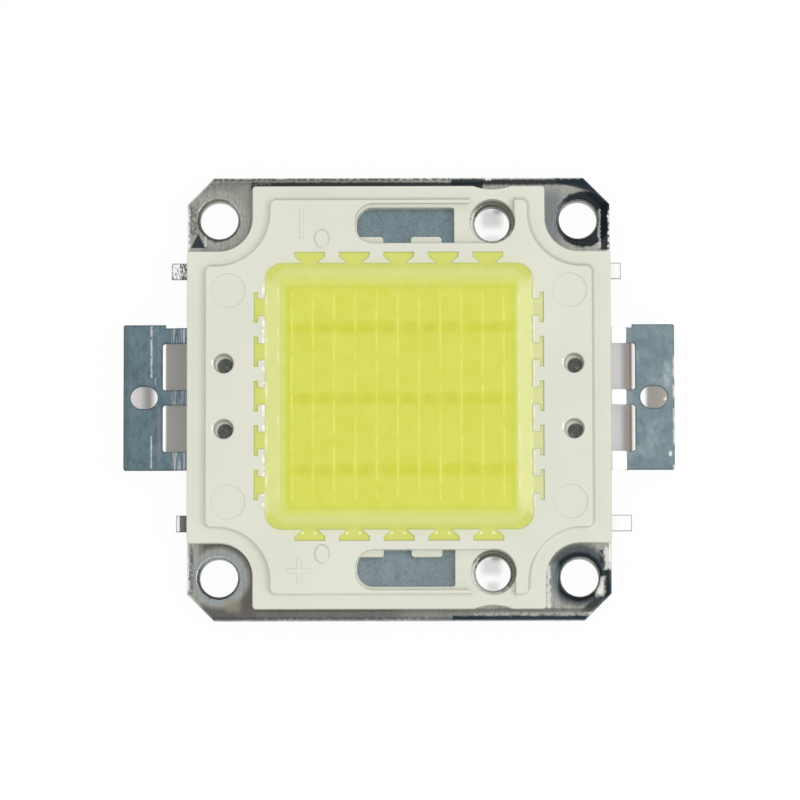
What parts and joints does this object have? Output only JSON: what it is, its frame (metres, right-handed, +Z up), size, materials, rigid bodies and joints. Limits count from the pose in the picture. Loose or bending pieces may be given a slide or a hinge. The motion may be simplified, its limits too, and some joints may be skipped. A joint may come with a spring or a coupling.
{
  "type": "high-power LED module",
  "caption": "Square integrated LED light source: plated base plate, moulded frame with a silicone-filled window, and a flat solder lead on two sides.",
  "frame": {"origin": "centre of the underside of the base plate", "axes": "+X from the left to the right lead, +Y across the module to the edge behind the minus sign, +Z up out of the light-giving window"},
  "size_m": [0.052, 0.042, 0.0045],
  "materials": {
    "plated_base": "nickel-plated stamped sheet, softly brushed",
    "frame_plastic": "white moulded nylon, fine matt grain",
    "plated_lead": "silver-plated stamped strip with fine scratches",
    "phosphor_silicone": "cured silicone filled with yellow phosphor",
    "die": "polished sapphire with a thin blue emitting layer",
    "die_attach": "silver-filled adhesive",
    "bond_wire": "drawn gold wire"
  },
  "bodies": {
    "root": {"base_plate": "plated_base", "frame": "frame_plastic", "left_lead": "plated_lead", "right_lead": "plated_lead", "tie_bar_left_back": "plated_lead", "tie_bar_left_front": "plated_lead", "tie_bar_right_back": "plated_lead", "tie_bar_right_front": "plated_lead", "silicone": "phosphor_silicone", "die_attach_row_1": "die_attach", "die_attach_row_2": "die_attach", "die_attach_row_3": "die_attach", "bond_wires_row_1": "bond_wire", "bond_wires_row_2": "bond_wire", "bond_wires_row_3": "bond_wire", "die_r1_c01": "die", "die_r1_c02": "die", "die_r1_c03": "die", "die_r1_c04": "die", "die_r1_c05": "die", "die_r1_c06": "die", "die_r1_c07": "die", "die_r1_c08": "die", "die_r1_c09": "die", "die_r1_c10": "die", "die_r2_c01": "die", "die_r2_c02": "die", "die_r2_c03": "die", "die_r2_c04": "die", "die_r2_c05": "die", "die_r2_c06": "die", "die_r2_c07": "die", "die_r2_c08": "die", "die_r2_c09": "die", "die_r2_c10": "die", "die_r3_c01": "die", "die_r3_c02": "die", "die_r3_c03": "die", "die_r3_c04": "die", "die_r3_c05": "die", "die_r3_c06": "die", "die_r3_c07": "die", "die_r3_c08": "die", "die_r3_c09": "die", "die_r3_c10": "die"}
  },
  "joints": []
}
